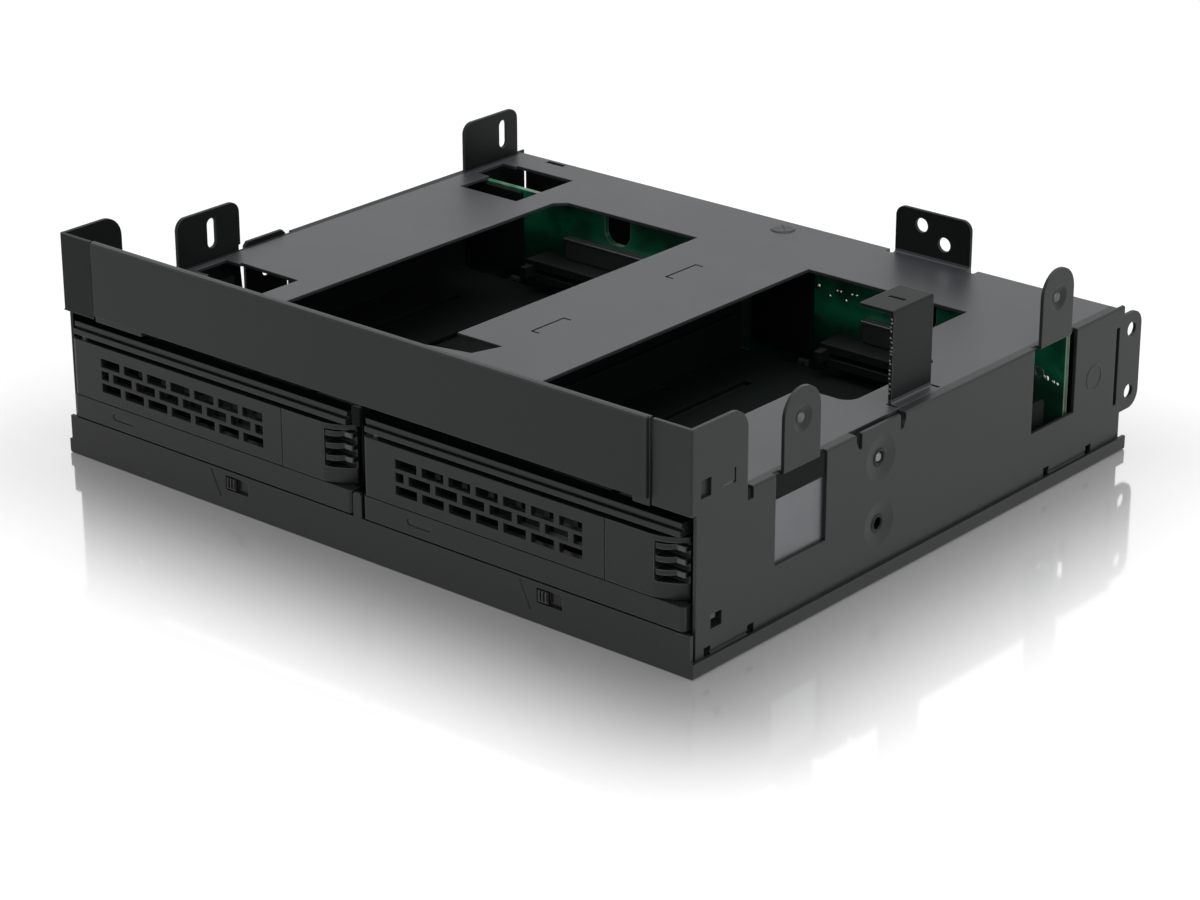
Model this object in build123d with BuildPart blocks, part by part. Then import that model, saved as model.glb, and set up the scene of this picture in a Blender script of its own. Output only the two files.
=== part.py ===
from build123d import *
import os

# Twin-bay hot swap drive cage. X runs across the two bays, Y from the front face to the rear,
# Z up from the underside of the base pan, and the origin is the middle of that underside.
# Depths are measured back from the front face.

os.makedirs("parts", exist_ok=True)

# Sheet metal
sheet = 1.0
bend = 0.6
relief = 2.4
slit = 0.7
corner_round = 1.0
pick = 0.05

# Drive carried by each tray, and what is added around it to reach the cage's size
drive_width = 101.6
drive_side_gap = 0.3
drive_mating_depth = 4.5
drive_screw_pitch_x = 95.25
drive_screw_pitch_y = 44.45
drive_screw_first = 41.28
drive_screw_radius = 1.8
tray_margin = 2.2
bay_gap = 4.0

# Cage
base_depth = 190.0
roof_height = 42.6
roof_rear_gap = 5.0
wall_rear_gap = 2.3
wall_setback = 2.0
wall_foot = 1.8
side_lip = 4.0
front_lip = 11.2
rear_lip = 3.0

# Ears and header above the roof at the front
ear_low_gap = 3.1
ear_flange_gap = 0.5
ear_rise = 21.6
ear_depth = 21.3
ear_round = 6.0
ear_flange = 12.0
header_gap = 0.8
header_rise = 21.8
ear_hole = (4.0, 4.8)
ear_hole_place = (5.4, 5.4)
ear_slit_place = (16.8, 3.3)
ear_slit_arms = (4.6, 4.0)

# Cover plate over the header
cover_thickness = 1.6
cover_foot_rise = 1.0
cover_top_rise = 22.1
cover_inset = 1.0
cover_bevel = 0.3
bend_slot_left = 18.0
bend_slot_right = 5.2
bend_slot_reach = 6.0

# Slotted tabs on the left wall, tongues on the right wall, centre tabs on both
slot_tab_width = 24.0
slot_tab_rise = 14.4
slot_tab_round = 3.5
front_slot_tab = 41.7
rear_slot_tab_gap = 29.4
front_slot = 54.8
rear_slot_gap = 12.0
slot_rises = (3.0, 11.8)
slot_half_width = 1.7
tongue_width = 14.4
tongue_rise = 19.9
tongue_round = 7.0
front_tongue = 42.7
rear_tongue_gap = 36.0
tongue_dimple_rise = 11.7
dimple_radius = 3.6
dimple_depth = 0.8
side_window_width = 20.6
side_window_low = 18.4
mid_tab_front = 67.4
mid_tab_rear = 83.6
left_mid_tab_rise = 1.2
mid_tab_chamfer = 1.2
mid_tab_relief = 4.2
mid_tab_relief_spread = 2.0
left_relief = 16.6

# Dished screw holes in both side walls
dish_depth = 75.5
dish_low = 15.4
dish_roof_gap = 9.2
dish_radius = 6.2
dish_flat = 2.9
dish_sink = 0.5
dish_hole_radius = 1.7

# Hook, rear tab and rear flange
hook_wall_gap = 6.0
hook_front = 87.6
hook_width = 17.2
hook_rise = 25.0
hook_flap = 10.6
hook_slot = (5.2, 1.6)
hook_relief = 1.0
rear_tab_left = 35.4
rear_tab_right = 61.0
rear_tab_rise = 14.1
rear_tab_round = 3.0
rear_tab_holes = ((44.3, 9.7), (52.2, 5.6))
tab_hole_radius = 2.1
rear_flange_reach = 9.0
rear_flange_low = 11.3
rear_flange_roof_gap = 2.8
rear_flange_round = 4.6
rear_flange_hole_reach = 1.8
rear_flange_hole_low = 16.4
rear_flange_hole_roof_gap = 7.9
rear_slot_gap_back = 5.1
rear_slot_width = 1.7
rear_slot_low = 14.2
rear_slot_roof_gap = 5.6

# Roof windows; the outer edges are measured from the walls, the others from the middle
windows_front = 30.0
left_window_wall_gap = 42.4
left_window_right = -15.0
left_window_board_gap = 4.0
left_window_chamfer = 3.2
left_notch_right = 1.2
left_notch_front = 43.0
left_notch_rear = 55.0
right_window_left = 25.8
right_window_wall_gap = 30.2
right_window_board_gap = 5.0
right_notch_wall_gap = 14.8
right_notch_front = 82.0
right_notch_rear = 121.0
notch_round = 4.0
small_window_wall_gap = 10.4
small_window_size = (22.6, 26.0)
small_window_step = 5.4
front_small_window = 31.0
rear_small_window_gap = 42.0
lance_left = -1.0
lance_width = 3.0
lance_length = 13.8
lance_centres = (75.2, 131.8)
lance_cut = 0.7
roof_notch_wall_gap = 18.1
roof_notch_rear_gap = 2.0
roof_notch = (7.0, 1.8)

# Foot of the side walls
foot_clip = (7.6, 11.9, 10.5, 14.4)
front_foot_tab = (6.4, 23.2)
rear_foot_tab_gaps = (38.0, 17.4)
foot_tab_notch = (2.6, 4.6)
foot_tab_height = 4.3
crease_depth = 0.3

# Bezel of the tray
tray_low = 11.7
tray_roof_gap = 2.1
bezel_lip = 3.2
bezel_depth = 8.4
bezel_wall = 1.6
strip_top = 18.1
rail_roof_gap = 5.1
rail_height = 1.5
rail_groove = 0.6
rail_groove_depth = 1.4
strip_setback = 0.6
rail_inset = 1.4
tray_edge_round = 1.2
vent_size = (7.2, 11.0)

# Pan of the tray
pan_sheet = 1.0
pan_floor_top = 14.2
pan_side_top = 25.0
pan_gap = 0.1
pan_rear_gap = 2.0
pan_slot = (3.0, 44.0)
pan_slot_pitch = (22.0, 62.0)
pan_tongue_front = 3.3
pan_tongue_top = 17.6

# Lever with its grille, hinged on a pin at the left end of the bezel
door_gap = 0.3
door_head_gap = 1.4
lever_left = 0.4
lever_thickness = 3.0
lever_skin = 1.8
lever_rim = 1.6
lever_end_round = 1.5
hinge_x = 3.2
hinge_y = 2.6
pin_radius = 0.9
pin_fit = 0.05
pin_bury = 1.7
knuckle_radius = 2.2
knuckle_gap = 4.4
hinge_room = 4.1
brick_height = 2.6
brick_gap = 1.65
brick_row_pitch = 3.6
brick_columns = 7
brick_rows = 3
brick_left = 11.8
brick_right_gap = 6.9
brick_drop = 0.1
hook_tooth_root = 3.0
hook_tooth_tip = 1.3
hook_tooth_height = 6.0
hook_tooth_depth = 5.2

# Latch with its scooped finger grip; lengths along X are measured from its own ends
latch_end_gap = 1.8
latch_length = 22.8
latch_depth = 5.2
latch_travel = 1.6
catch_reach = 1.3
catch_depths = (3.4, 4.2)
scoop_length = 8.0
scoop_bulge = (4.6, 1.0)
scoop_depth = 4.4
fin_length = 7.2
fin_bulge = (4.6, 1.2)
fin_nub_length = 3.0
fin_nub_depth = 2.9
fin_thickness = 1.4
fin_pitch = 3.4
fin_lift = 0.6
grip_foot = 4.2
grip_head = 1.4
grip_length = 7.6
peg_start = 7.6
peg_length = 3.0
peg_height = 4.0
peg_room = 0.4
spring_pocket_span = (4.6, 12.6)
spring_pocket_heights = (18.9, 22.3)
spring_post_span = (10.4, 11.8)
spring_wire = 0.4
coil_sides = 5
latch_spring_radius = 1.0
latch_spring_turns = 3
lever_spring_radius = 1.6
lever_spring_turns = 3

# Lock slider behind the front lip
lock_window = (6.2, 14.6, 5.7, 9.8)
lock_knob = (3.4, 3.2)
lock_knob_left = 6.6
lock_plate = (14.0, 6.4)
crease_foot = (4.2, 3.2)
crease_head = (0.6, 10.4)
crease_width = 0.7

# Light guide under the tray floor, from the lamp on the board to the lens in the bezel
guide_x = -33.3
lens_size = (8.2, 1.8)
lens_height = 15.2
lens_setback = 0.2
guide_turn = (3.3, 4.5)
guide_bar = 1.2
guide_width = 2.4
guide_low = 11.8
lamp_gap = 1.0
lamp_size = (3.0, 1.4, 1.8)

# Guides and divider
ledge_reach = 4.0
ledge_gap = 0.3
guide_plate = 0.8
guide_front = 25.0
guide_plate_rear = 62.0
guide_board_gap = 4.0
guide_plate_roof_gap = 7.2
divider_front = 9.4
divider_board_gap = 3.0
divider_foot = 9.0
post_width = 2.8
post_top = 18.2
post_break_roof_gap = 6.0
post_setback = 0.4

# Backplane board and what it carries
board_rear_gap = 29.0
board_thickness = 1.6
board_side_gap = 0.3
board_low = 5.0
board_roof_gap = 1.4
board_notch_offset = 6.5
board_notch_width = 9.7
board_notch_drop = 9.6
board_notch_round = 4.0
connector_size = (42.0, 9.6, 6.6)
connector_height = 20.6
connector_slot = (35.4, 7.4, 1.6)
connector_key = 1.6
connector_horn = (2.4, 3.0, 3.6)
data_socket_size = (14.0, 9.0, 6.0)
data_socket_slot = (10.6, 6.6, 1.6)
data_socket_edge_gap = 27.0
power_socket_size = (24.0, 10.0, 9.6)
power_socket_x = 14.0
power_pins = 4
power_pin_pitch = 5.08
power_pin_size = 3.4
power_pin_depth = 8.0
socket_height = 11.0
bracket_foot = 8.0
bracket_width = 12.0
bracket_roof_gap = 11.6
bracket_wall_gap = 14.0
roof_flange_gap = 4.0
panel_side_gap = 0.3
panel_foot = 8.0
panel_roof_gap = 3.6
panel_window_edge_gaps = (17.0, 23.0)
panel_window_heights = (5.0, 17.0)

# Widths, from the drive outward
tray_width = drive_width + 2 * tray_margin
half_tray = tray_width / 2
bay_pitch = tray_width + bay_gap
bays = {"left": -bay_pitch / 2, "right": bay_pitch / 2}
half_cage = bay_pitch
cage_width = 2 * half_cage
inner_wall = half_cage - sheet
seam = inner_wall - 2 * sheet
half_header = half_cage - ear_flange - header_gap
pan_half = drive_width / 2 + drive_side_gap + pan_sheet
half_bezel_back = pan_half - pan_sheet - pan_gap
bracket_places = (bracket_wall_gap - half_cage, half_cage - bracket_wall_gap)
hook_face = half_cage - hook_wall_gap
data_socket_x = data_socket_edge_gap - half_tray
panel_window_left = panel_window_edge_gaps[0] - half_tray
panel_window_right = half_tray - panel_window_edge_gaps[1]

# Depths, from the base pan's own
front = -base_depth / 2
roof_depth = base_depth - roof_rear_gap
wall_depth = base_depth - wall_rear_gap
board_front = base_depth - board_rear_gap
board_rear = board_front + board_thickness
guide_end = board_front - guide_board_gap
divider_rear = board_front - divider_board_gap
drive_rear = board_front - connector_size[1] + drive_mating_depth
pan_rear = drive_rear - pan_rear_gap
back_wall_front = bezel_depth - bezel_wall
tongue_centres = (front_tongue, base_depth - rear_tongue_gap)
slot_tabs = ((front_slot_tab, front_slot), (base_depth - rear_slot_tab_gap, base_depth - rear_slot_gap))
rear_slot_depth = base_depth - rear_slot_gap_back
rear_flange_hole_depth = base_depth + rear_flange_hole_reach
foot_tabs = (front_foot_tab, tuple(base_depth - gap for gap in rear_foot_tab_gaps))

# Heights, above the roof or under it
fold_top = roof_height + sheet
ear_low = roof_height - ear_low_gap
ear_flange_low = roof_height - ear_flange_gap
ear_top = roof_height + ear_rise
header_top = roof_height + header_rise
ear_hole_centre = (ear_hole_place[0], roof_height + ear_hole_place[1])
ear_slit_corner = (ear_slit_place[0], roof_height + ear_slit_place[1])
cover_low = roof_height + cover_foot_rise
cover_top = roof_height + cover_top_rise
slot_tab_top = roof_height + slot_tab_rise
slot_low, slot_high = (roof_height + rise for rise in slot_rises)
tongue_top = roof_height + tongue_rise
tongue_dimple_height = roof_height + tongue_dimple_rise
left_mid_tab_top = roof_height + left_mid_tab_rise
dish_heights = (dish_low, roof_height - dish_roof_gap)
hook_top = roof_height + hook_rise
rear_tab_top = roof_height + rear_tab_rise
rear_flange_high = roof_height - rear_flange_roof_gap
rear_flange_hole_heights = (rear_flange_hole_low, roof_height - rear_flange_hole_roof_gap)
rear_slot_high = roof_height - rear_slot_roof_gap
tray_top = roof_height - tray_roof_gap
rail_top = roof_height - rail_roof_gap
rail_low = rail_top - rail_height
guide_plate_top = roof_height - guide_plate_roof_gap
post_break_top = roof_height - post_break_roof_gap
board_top = roof_height - board_roof_gap
board_notch_floor = board_top - board_notch_drop
bracket_top = roof_height - bracket_roof_gap
panel_top = roof_height - panel_roof_gap

# Heights inside the tray
pan_floor_low = pan_floor_top - pan_sheet
ledge_top = pan_floor_low - ledge_gap
door_low = strip_top + door_gap
door_top = rail_low - door_head_gap
door_middle = (door_low + door_top) / 2
brick_centre_height = door_middle - brick_drop
grip_low = door_low + grip_foot
grip_high = door_top - grip_head
fin_middle = (grip_low + grip_high) / 2 + fin_lift

# Ends of the latch and the lever, from the left end of the tray
latch_right = tray_width - latch_end_gap
latch_left = latch_right - latch_length
lever_right = latch_left - door_gap
brick_right = lever_right - brick_right_gap
brick_pitch = (brick_right - brick_left + brick_gap) / brick_columns
brick_length = brick_pitch - brick_gap


def level(height, x=0):
    """Level plane: local X across, local Y back from the front face."""
    return Plane(origin=(x, front, height))


def facing(depth, x=0):
    """Upright plane seen from the front: local X across, local Y up."""
    return Plane(origin=(x, front + depth, 0), x_dir=(1, 0, 0), z_dir=(0, -1, 0))


def across(x):
    """Upright plane seen from the right: local X back from the front face, local Y up."""
    return Plane(origin=(x, front, 0), x_dir=(0, 1, 0), z_dir=(1, 0, 0))


def span(left, right, low, high, mode=Mode.ADD):
    """Rectangle between two pairs of edges."""
    with Locations(((left + right) / 2, (low + high) / 2)):
        Rectangle(right - left, high - low, mode=mode)


def folded(plane, corners, thickness, side):
    """Section of a sheet that is bent at the corners and lies to one side of them."""
    with BuildSketch(plane) as section:
        with BuildLine():
            fold = FilletPolyline(*corners, radius=bend)
            offset(fold, amount=thickness, side=side)
        make_face()
    return section.sketch


def finish(part, name):
    part.label = name
    export_step(part, f"parts/{name}.step")


# Chassis: roof, side walls, ears, header, tabs, tongues, hook and flange, folded from one blank
with BuildPart() as chassis_shell:
    extrude(
        folded(
            facing(0),
            [(-half_cage, wall_foot), (-half_cage, roof_height), (half_cage, roof_height),
             (half_cage, wall_foot)],
            sheet,
            Side.RIGHT,
        ),
        amount=-wall_depth,
    )
    # the roof stops short of the walls at the rear, the walls stop short of the roof at the front
    with BuildSketch(level(roof_height)):
        span(-inner_wall, inner_wall, roof_depth, wall_depth)
    extrude(amount=-2 * sheet, mode=Mode.SUBTRACT)
    with BuildSketch(facing(0)):
        for side in (-1, 1):
            with Locations((side * half_cage, ear_low / 2)):
                Rectangle(4 * sheet, ear_low)
    extrude(amount=-wall_setback, mode=Mode.SUBTRACT)
    # slits that free the ears from the roof, and relief notches behind them
    with BuildSketch(level(roof_height)):
        for side in (-1, 1):
            with Locations((side * (inner_wall - slit / 2), (ear_depth + relief) / 2)):
                Rectangle(slit, ear_depth + relief)
            with Locations((side * (half_header + (inner_wall - half_header) / 2), wall_setback / 2)):
                Rectangle(inner_wall - half_header, wall_setback)
    extrude(amount=-2 * sheet, mode=Mode.SUBTRACT)
    for side, turned in ((-1, Side.RIGHT), (1, Side.LEFT)):
        ear_corners = [
            (side * (half_cage - ear_flange), 0),
            (side * half_cage, 0),
            (side * half_cage, ear_depth),
        ]
        extrude(folded(level(ear_low), ear_corners, sheet, turned), amount=ear_top - ear_low)
        with BuildSketch(facing(0)):
            span(side * half_header, side * (half_cage + sheet), ear_low, ear_flange_low)
        extrude(amount=-wall_setback, mode=Mode.SUBTRACT)
        with BuildSketch(across(side * half_cage)):
            span(ear_depth, ear_depth + relief, ear_low, roof_height)
        extrude(amount=-side * 2 * sheet, mode=Mode.SUBTRACT)
    ear_corner_edges = chassis_shell.edges().filter_by(Axis.X).filter_by_position(
        Axis.Z, ear_top - pick, ear_top + pick
    )
    fillet(ear_corner_edges.group_by(Axis.Y)[-1], ear_round)
    # header bent up from the front edge of the roof
    extrude(
        folded(
            across(-half_header),
            [(2 * ear_flange, roof_height - sheet), (0, roof_height - sheet), (0, header_top)],
            sheet,
            Side.RIGHT,
        ),
        amount=2 * half_header,
    )
    # long slot along the bend of the header, which stays joined at both ends
    with BuildSketch(facing(0)):
        span(-half_header + bend_slot_left, half_header - bend_slot_right, roof_height - 2 * sheet, cover_low)
    extrude(amount=-bend_slot_reach, mode=Mode.SUBTRACT)
    # holes of the ears
    for side in (-1, 1):
        with BuildSketch(across(side * half_cage)):
            with Locations(ear_hole_centre):
                Rectangle(*ear_hole)
            arm_back, arm_up = ear_slit_arms
            corner_back, corner_low = ear_slit_corner
            span(corner_back - arm_back, corner_back, corner_low, corner_low + slit)
            span(corner_back - slit, corner_back, corner_low, corner_low + arm_up)
        extrude(amount=-side * sheet, mode=Mode.SUBTRACT)
    # slotted tabs that stand in the plane of the left wall, cut free of the roof
    for start, slot_centre in slot_tabs:
        with BuildSketch(level(roof_height)):
            span(-inner_wall, -inner_wall + slit, start - slit, start + slot_tab_width + slit)
        extrude(amount=-2 * sheet, mode=Mode.SUBTRACT)
        with BuildSketch(across(-half_cage)) as tab:
            span(start, start + slot_tab_width, ear_low, slot_tab_top)
            fillet(tab.vertices().group_by(Axis.Y)[-1], slot_tab_round)
            with Locations((slot_centre, (slot_low + slot_high) / 2)):
                SlotOverall(slot_high - slot_low, 2 * slot_half_width, rotation=90, mode=Mode.SUBTRACT)
        extrude(amount=sheet)
    # centre tabs on both walls, with their relief notches
    for side, tab_top, tab_slit, notch_depth in (
        (-1, left_mid_tab_top, slit, left_relief), (1, roof_height, inner_wall - seam, mid_tab_relief)
    ):
        with BuildSketch(level(roof_height)):
            with Locations((side * (inner_wall - tab_slit / 2), (mid_tab_front + mid_tab_rear) / 2)):
                Rectangle(tab_slit, mid_tab_rear - mid_tab_front + 2 * relief)
        extrude(amount=-2 * sheet, mode=Mode.SUBTRACT)
        with BuildSketch(across(side * half_cage)) as mid_tab:
            span(mid_tab_front, mid_tab_rear, ear_low, tab_top)
            chamfer(mid_tab.vertices().group_by(Axis.Y)[-1], mid_tab_chamfer)
        extrude(amount=-side * sheet)
        with BuildSketch(across(side * half_cage)):
            for edge, outward in ((mid_tab_front, -1), (mid_tab_rear, 1)):
                with BuildLine():
                    Polyline(
                        (edge, tab_top),
                        (edge, roof_height - notch_depth),
                        (edge + outward * relief / 2, roof_height - notch_depth),
                        (edge + outward * relief, roof_height - mid_tab_relief_spread),
                        (edge + outward * relief, tab_top),
                        close=True,
                    )
                make_face()
        extrude(amount=-side * sheet, mode=Mode.SUBTRACT)
    # side windows on the right, whose flaps stand up from the roof as dimpled tongues
    for centre in tongue_centres:
        with BuildSketch(across(half_cage)):
            span(
                centre - side_window_width / 2, centre + side_window_width / 2, side_window_low, roof_height
            )
        extrude(amount=-(sheet + bend), mode=Mode.SUBTRACT)
        extrude(
            folded(
                facing(centre - tongue_width / 2),
                [(seam, roof_height - sheet), (half_cage, roof_height - sheet),
                 (half_cage, tongue_top)],
                sheet,
                Side.LEFT,
            ),
            amount=-tongue_width,
        )
        tongue_corners = chassis_shell.edges().filter_by(Axis.X).filter_by_position(
            Axis.Z, tongue_top - pick, tongue_top + pick
        )
        fillet(tongue_corners.filter_by_position(
            Axis.Y, front + centre - tongue_width, front + centre + tongue_width
        ), tongue_round)
    # dimples pressed into the tongues
    for centre in tongue_centres:
        with BuildSketch(Plane(origin=(half_cage - dimple_depth, front + centre, tongue_dimple_height),
                               x_dir=(1, 0, 0), z_dir=(0, -1, 0))):
            with BuildLine():
                Polyline(
                    (0, 0), (dimple_depth, 0), (dimple_depth, dimple_radius), (0, dimple_radius / 2),
                    close=True,
                )
            make_face()
        revolve(
            axis=Axis((0, front + centre, tongue_dimple_height), (1, 0, 0)), mode=Mode.SUBTRACT
        )
    # dished screw holes in both walls
    for side in (-1, 1):
        for height in dish_heights:
            dish_line = Axis((0, front + dish_depth, height), (1, 0, 0))
            with BuildSketch(Plane(origin=dish_line.position, x_dir=(1, 0, 0), z_dir=(0, -1, 0))):
                with BuildLine():
                    Polyline(
                        (side * half_cage, 0),
                        (side * half_cage, dish_radius),
                        (side * (half_cage - dish_sink), dish_flat),
                        (side * (half_cage - dish_sink), dish_hole_radius),
                        (side * (inner_wall - sheet), dish_hole_radius),
                        (side * (inner_wall - sheet), 0),
                        close=True,
                    )
                make_face()
            revolve(axis=dish_line, mode=Mode.SUBTRACT)
    # hook bent up from the roof and turned in at the top
    with BuildSketch(level(roof_height)) as roof_windows:
        left = left_window_wall_gap - half_cage
        right = left_window_right
        span(left, right, windows_front, board_front - left_window_board_gap)
        chamfer(roof_windows.vertices().group_by(Axis.Y)[-1].sort_by(Axis.X)[0], left_window_chamfer)
        with BuildLine():
            Polyline(
                (right - sheet, left_notch_front), (right, left_notch_front),
                (left_notch_right - lance_width, left_notch_front + lance_width),
                (left_notch_right, left_notch_rear), (right - sheet, left_notch_rear),
                close=True,
            )
        make_face()
        right = half_cage - right_window_wall_gap
        notch_right = half_cage - right_notch_wall_gap
        span(right_window_left, right, windows_front, board_front - right_window_board_gap)
        span(right - sheet, notch_right, right_notch_front, right_notch_rear)
        fillet(roof_windows.vertices().filter_by(lambda v: v.X > notch_right - sheet), notch_round)
    extrude(amount=-sheet, mode=Mode.SUBTRACT)
    with BuildSketch(level(roof_height)):
        for fore in (front_small_window, base_depth - rear_small_window_gap):
            left = small_window_wall_gap - half_cage
            aft = fore + small_window_size[1]
            span(left, left + small_window_size[0], fore, aft)
            span(left - small_window_step, left + sheet, (fore + aft) / 2, aft - corner_round)
        hook_rear = hook_front + hook_width
        for start in (hook_front - hook_relief, hook_rear):
            span(hook_face - hook_relief, hook_face + relief, start, start + hook_relief)
    extrude(amount=-sheet, mode=Mode.SUBTRACT)
    extrude(
        folded(
            facing(hook_front),
            [(seam, roof_height), (hook_face, roof_height),
             (hook_face, hook_top), (hook_face - hook_flap, hook_top)],
            sheet,
            Side.LEFT,
        ),
        amount=-hook_width,
    )
    with BuildSketch(level(hook_top)):
        with Locations((hook_face - hook_flap / 2, hook_front + hook_width / 2)):
            Rectangle(*hook_slot)
    extrude(amount=-sheet / 2, mode=Mode.SUBTRACT)
    # rear tab with its two holes and the notches beside its root
    with BuildSketch(level(roof_height)):
        for left in (rear_tab_left - relief, rear_tab_right):
            span(left, left + relief, roof_depth - relief, roof_depth)
    extrude(amount=-sheet, mode=Mode.SUBTRACT)
    extrude(
        folded(
            across(rear_tab_left),
            [(roof_depth - 2 * relief, roof_height), (roof_depth - sheet, roof_height),
             (roof_depth - sheet, rear_tab_top)],
            sheet,
            Side.RIGHT,
        ),
        amount=rear_tab_right - rear_tab_left,
    )
    rear_tab_edges = chassis_shell.edges().filter_by(Axis.Y).filter_by_position(
        Axis.Z, rear_tab_top - pick, rear_tab_top + pick
    )
    fillet(rear_tab_edges, rear_tab_round)
    with BuildSketch(facing(roof_depth)):
        with Locations(*[(x, roof_height + rise) for x, rise in rear_tab_holes]):
            Circle(tab_hole_radius)
    extrude(amount=sheet, mode=Mode.SUBTRACT)
    # rear flange in the plane of the right wall, its screw holes and the slot beside it
    with BuildSketch(across(half_cage)) as rear_flange:
        span(wall_depth - relief, wall_depth + rear_flange_reach, rear_flange_low, rear_flange_high)
        fillet(rear_flange.vertices().group_by(Axis.X)[-1], rear_flange_round)
        with Locations(*[(rear_flange_hole_depth, height) for height in rear_flange_hole_heights]):
            Circle(tab_hole_radius, mode=Mode.SUBTRACT)
    extrude(amount=-sheet)
    with BuildSketch(across(half_cage)):
        span(
            rear_slot_depth - rear_slot_width / 2, rear_slot_depth + rear_slot_width / 2,
            rear_slot_low, rear_slot_high,
        )
    extrude(amount=-sheet, mode=Mode.SUBTRACT)
    # lanced strips and notch of the roof
    with BuildSketch(level(roof_height)):
        for centre in lance_centres:
            fore, aft = centre - lance_length / 2, centre + lance_length / 2
            span(lance_left, lance_left + lance_cut, fore, aft)
            span(lance_left, lance_left + lance_width, fore, fore + lance_cut)
            span(lance_left, lance_left + lance_width, aft - lance_cut, aft)
        with Locations((roof_notch_wall_gap - half_cage, roof_depth - roof_notch_rear_gap)):
            Rectangle(*roof_notch)
    extrude(amount=-sheet, mode=Mode.SUBTRACT)
    # clip windows and foot tabs along the bottom of both walls
    for side in (-1, 1):
        with BuildSketch(across(side * half_cage)):
            span(*foot_clip)
            notch_length, notch_height = foot_tab_notch
            for fore, aft in foot_tabs:
                for place in (fore, aft):
                    with Locations((place, wall_foot + notch_height / 2)):
                        Rectangle(notch_length, notch_height)
        extrude(amount=-side * sheet, mode=Mode.SUBTRACT)
        with BuildSketch(across(side * half_cage)):
            for fore, aft in foot_tabs:
                span(fore, aft, foot_tab_height, foot_tab_height + lance_cut)
        extrude(amount=-side * crease_depth, mode=Mode.SUBTRACT)

# The folded blank, parted along its bends: each wall with its ear, the header, the roof, the
# hook and the rear tab
for side_name, side in (("left", -1), ("right", 1)):
    with BuildPart() as chassis_wall:
        add(chassis_shell.part)
        with BuildSketch(level(0)):
            span(*sorted((side * seam, side * cage_width)), -sheet, base_depth + rear_flange_reach)
            span(*sorted((side * (half_header + slit), side * cage_width)), -sheet, wall_setback)
        extrude(amount=cage_width, mode=Mode.INTERSECT)
    finish(chassis_wall.part, f"chassis_{side_name}_wall")
with BuildPart() as chassis_header:
    add(chassis_shell.part)
    with BuildSketch(level(0)):
        span(-half_header - slit, half_header + slit, -sheet, wall_setback)
    extrude(amount=cage_width, mode=Mode.INTERSECT)
finish(chassis_header.part, "chassis_header")
with BuildPart() as chassis_roof:
    add(chassis_shell.part)
    with BuildSketch(level(0)):
        span(-seam, seam, wall_setback, base_depth)
    extrude(amount=fold_top, mode=Mode.INTERSECT)
finish(chassis_roof.part, "chassis_roof")
with BuildPart() as chassis_hook:
    add(chassis_shell.part)
    with BuildSketch(level(fold_top)):
        span(-seam, seam, hook_front - relief, hook_rear + relief)
    extrude(amount=cage_width, mode=Mode.INTERSECT)
finish(chassis_hook.part, "chassis_hook")
with BuildPart() as chassis_rear_tab:
    add(chassis_shell.part)
    with BuildSketch(level(fold_top)):
        span(-seam, seam, hook_rear + relief, base_depth)
    extrude(amount=cage_width, mode=Mode.INTERSECT)
finish(chassis_rear_tab.part, "chassis_rear_tab")

# Base pan: floor with side, front and rear lips, and the post between the trays
with BuildPart() as base_pan:
    extrude(
        folded(
            facing(0),
            [(-half_cage - sheet, side_lip), (-half_cage - sheet, 0), (half_cage + sheet, 0),
             (half_cage + sheet, side_lip)],
            sheet,
            Side.LEFT,
        ),
        amount=-base_depth,
    )
    extrude(
        folded(
            across(-half_cage),
            [(0, front_lip), (0, 0), (base_depth, 0), (base_depth, rear_lip)],
            sheet,
            Side.LEFT,
        ),
        amount=cage_width,
    )
    with BuildSketch(facing(0)) as post:
        span(-post_width / 2, post_width / 2, front_lip - sheet, post_top)
        chamfer(post.vertices().group_by(Axis.Y)[-1], slit)
    extrude(amount=-sheet)
    for bay_x in bays.values():
        with BuildSketch(facing(0, bay_x)):
            span(*lock_window)
        extrude(amount=-sheet, mode=Mode.SUBTRACT)
        # crease pressed into the lip beside each lock opening
        with BuildSketch(facing(0, bay_x)):
            with BuildLine() as crease:
                Line(crease_head, crease_foot)
            trace(crease.line, line_width=crease_width)
        extrude(amount=-crease_depth, mode=Mode.SUBTRACT)
finish(base_pan.part, "base_pan")

# Cover plate clipped over the header
cover_left = -half_header + cover_inset
cover_right = half_header
with BuildPart() as front_cover_plate:
    with BuildSketch(facing(0)) as cover_face:
        span(cover_left, cover_right, cover_low, cover_top)
        chamfer(cover_face.vertices(), cover_bevel)
    extrude(amount=cover_thickness)
    chamfer(front_cover_plate.faces().sort_by(Axis.Y)[0].edges(), cover_bevel)
finish(front_cover_plate.part, "front_cover_plate")

# Divider between the bays: an upright sheet with a foot flange and the upper part of the post
divider_top = roof_height - sheet
with BuildPart() as centre_divider:
    extrude(
        folded(
            facing(divider_front),
            [(-sheet / 2, divider_top), (-sheet / 2, sheet), (divider_foot, sheet)],
            sheet,
            Side.LEFT,
        ),
        amount=-(divider_rear - divider_front),
    )
    with BuildSketch(across(-sheet / 2)):
        span(post_setback, divider_front + sheet, post_break_top, divider_top)
    extrude(amount=sheet)
    with BuildSketch(facing(post_setback)):
        span(-post_width / 2, post_width / 2, post_break_top, divider_top)
    extrude(amount=-sheet)
finish(centre_divider.part, "centre_divider")

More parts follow.
